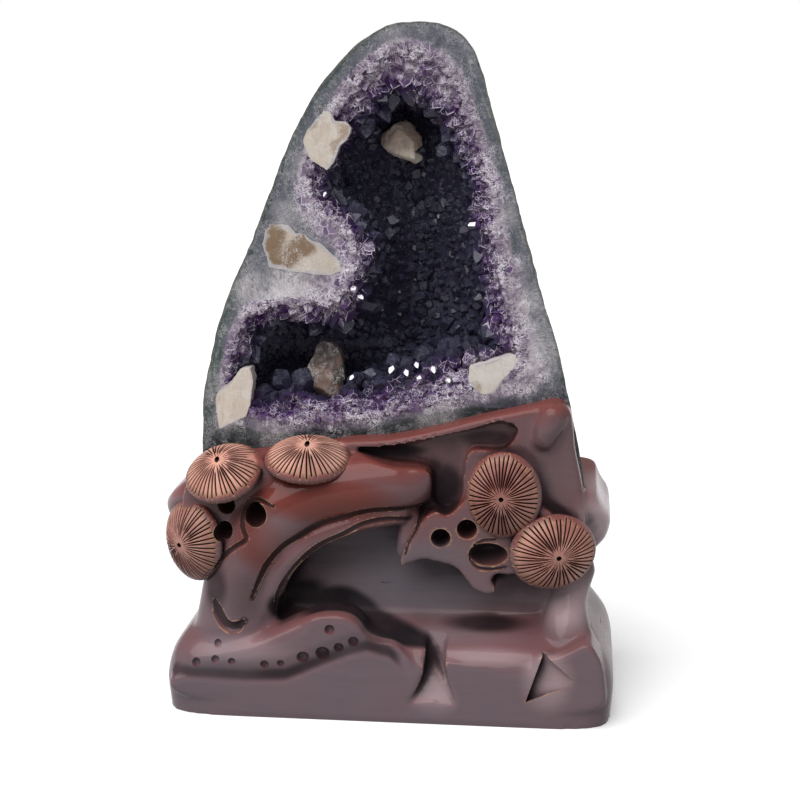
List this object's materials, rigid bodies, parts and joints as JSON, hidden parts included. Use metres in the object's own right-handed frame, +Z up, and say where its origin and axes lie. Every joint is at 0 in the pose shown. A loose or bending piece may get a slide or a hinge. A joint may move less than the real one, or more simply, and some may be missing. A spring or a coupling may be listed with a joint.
{
  "type": "amethyst geode",
  "caption": "Amethyst geode, sawn open to show its crystal lining and calcite, standing in a carved dark wooden pine-tree stand.",
  "frame": {"origin": "on the surface that the stand rests on, under the middle of the object's box", "axes": "+Z up, -Y towards the front with the sawn face, +X to the right seen from the front"},
  "size_m": [0.2714, 0.1398, 0.3985],
  "materials": {
    "lacquered_wood": "dark red-brown stain under satin lacquer, darker in the hollows",
    "agate_and_basalt": "polished sawn face of banded agate in a rough basalt rind",
    "amethyst": "deep violet quartz crystals with glossy faces, paler at the rim",
    "calcite": "cream to tan, waxy and rough"
  },
  "bodies": {
    "root": {"wooden_stand": "lacquered_wood", "geode_shell": "agate_and_basalt", "amethyst_crust": "amethyst", "calcite_upper_left": "calcite", "calcite_back_wall": "calcite", "calcite_left_shoulder": "calcite", "calcite_lower_left": "calcite", "calcite_floor": "calcite", "calcite_lower_right": "calcite"}
  },
  "joints": []
}
